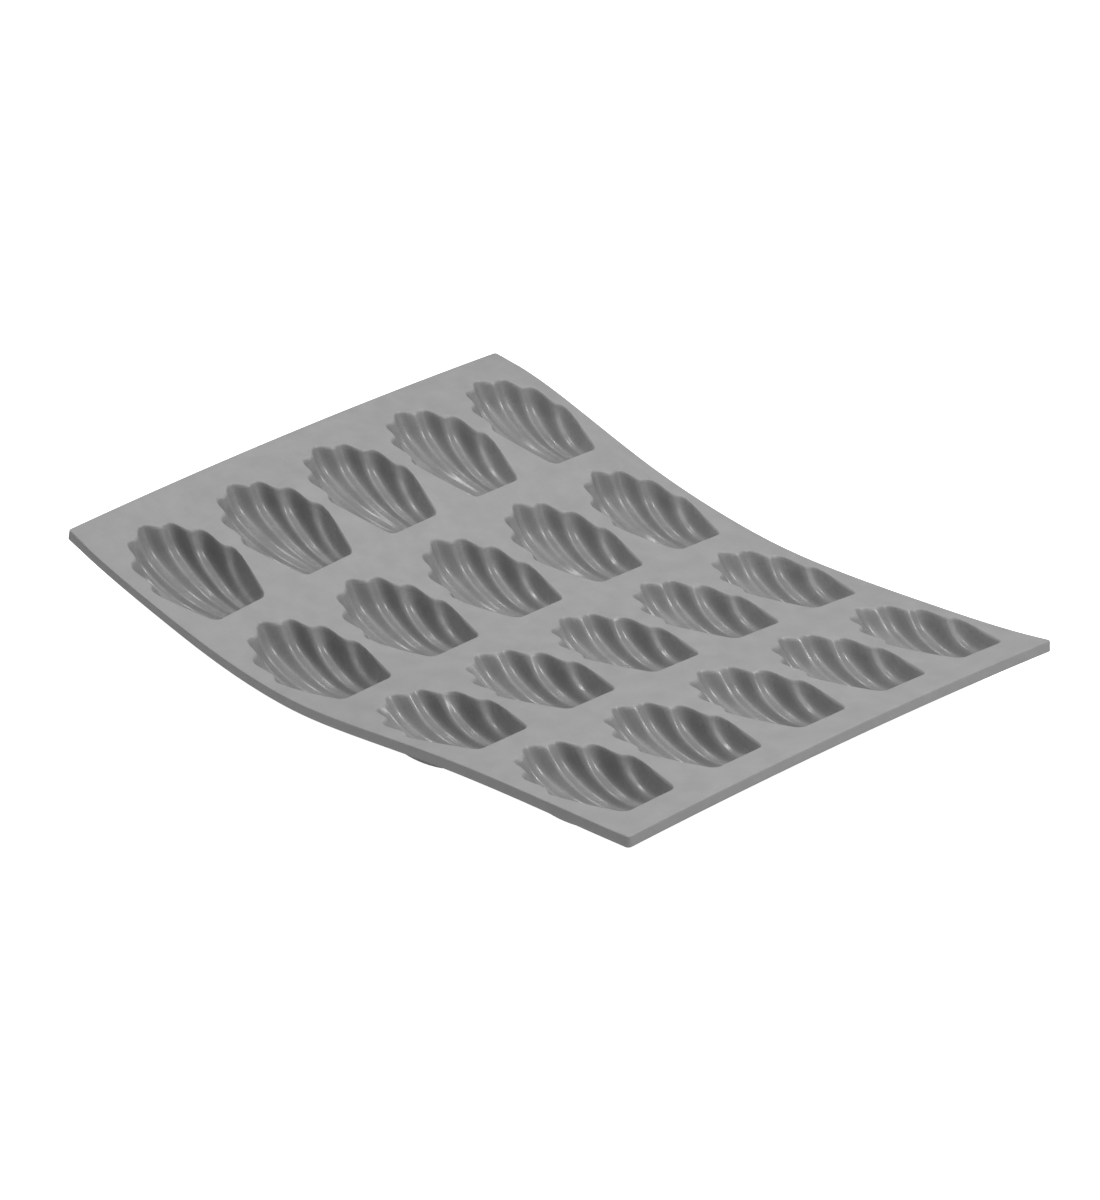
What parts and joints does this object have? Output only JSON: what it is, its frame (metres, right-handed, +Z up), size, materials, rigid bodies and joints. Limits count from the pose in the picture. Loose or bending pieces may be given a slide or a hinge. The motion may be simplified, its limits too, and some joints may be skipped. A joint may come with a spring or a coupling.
{
  "type": "madeleine pan",
  "caption": "Flexible moulded baking pan with rows of fluted shell-shaped cups, bowed at rest and bending between its rows.",
  "frame": {"origin": "middle of the underside of the part's box, on the surface that the cups' feet stand on", "axes": "+X along the sheet towards the cups' straight base ends, +Y across the sheet, +Z up out of the cups' mouths"},
  "size_m": [0.3994, 0.3, 0.0537],
  "materials": {
    "sheet": "matte moulded silicone",
    "cups": "smooth, slightly glossy moulded silicone"
  },
  "bodies": {
    "row_1": {"deck_row_1": "sheet", "cup_1_1": "cups", "cup_1_2": "cups", "cup_1_3": "cups", "cup_1_4": "cups", "cup_1_5": "cups"},
    "row_2": {"deck_row_2": "sheet", "cup_2_1": "cups", "cup_2_2": "cups", "cup_2_3": "cups", "cup_2_4": "cups", "cup_2_5": "cups", "web_1_2": "sheet", "web_2_3": "sheet"},
    "row_3": {"deck_row_3": "sheet", "cup_3_1": "cups", "cup_3_2": "cups", "cup_3_3": "cups", "cup_3_4": "cups", "cup_3_5": "cups", "web_3_4": "sheet"},
    "row_4": {"deck_row_4": "sheet", "cup_4_1": "cups", "cup_4_2": "cups", "cup_4_3": "cups", "cup_4_4": "cups", "cup_4_5": "cups"}
  },
  "joints": [
    {"name": "bend_1_2", "type": "hinge", "parent": "row_2", "child": "row_1", "pos_m": [-0.09422, -0.00001, 0.02543], "axis": [0.0052, 0.9995, 0.0327], "range_deg": [-45, 75], "stiffness_Nm_per_rad": 1.2, "springref_deg": 2.78, "deforming": ["web_1_2"]},
    {"name": "bend_2_3", "type": "hinge", "parent": "row_2", "child": "row_3", "pos_m": [-0.00001, -0.00001, 0.01802], "axis": [-0.0025, -1, 0.006], "range_deg": [-45, 75], "stiffness_Nm_per_rad": 1.2, "springref_deg": 5.21, "deforming": ["web_2_3"]},
    {"name": "bend_3_4", "type": "hinge", "parent": "row_3", "child": "row_4", "pos_m": [0.09388, -0.00001, 0.02872], "axis": [-0.0045, -0.9993, 0.0364], "range_deg": [-45, 75], "stiffness_Nm_per_rad": 1.2, "springref_deg": 2.89, "deforming": ["web_3_4"]}
  ]
}
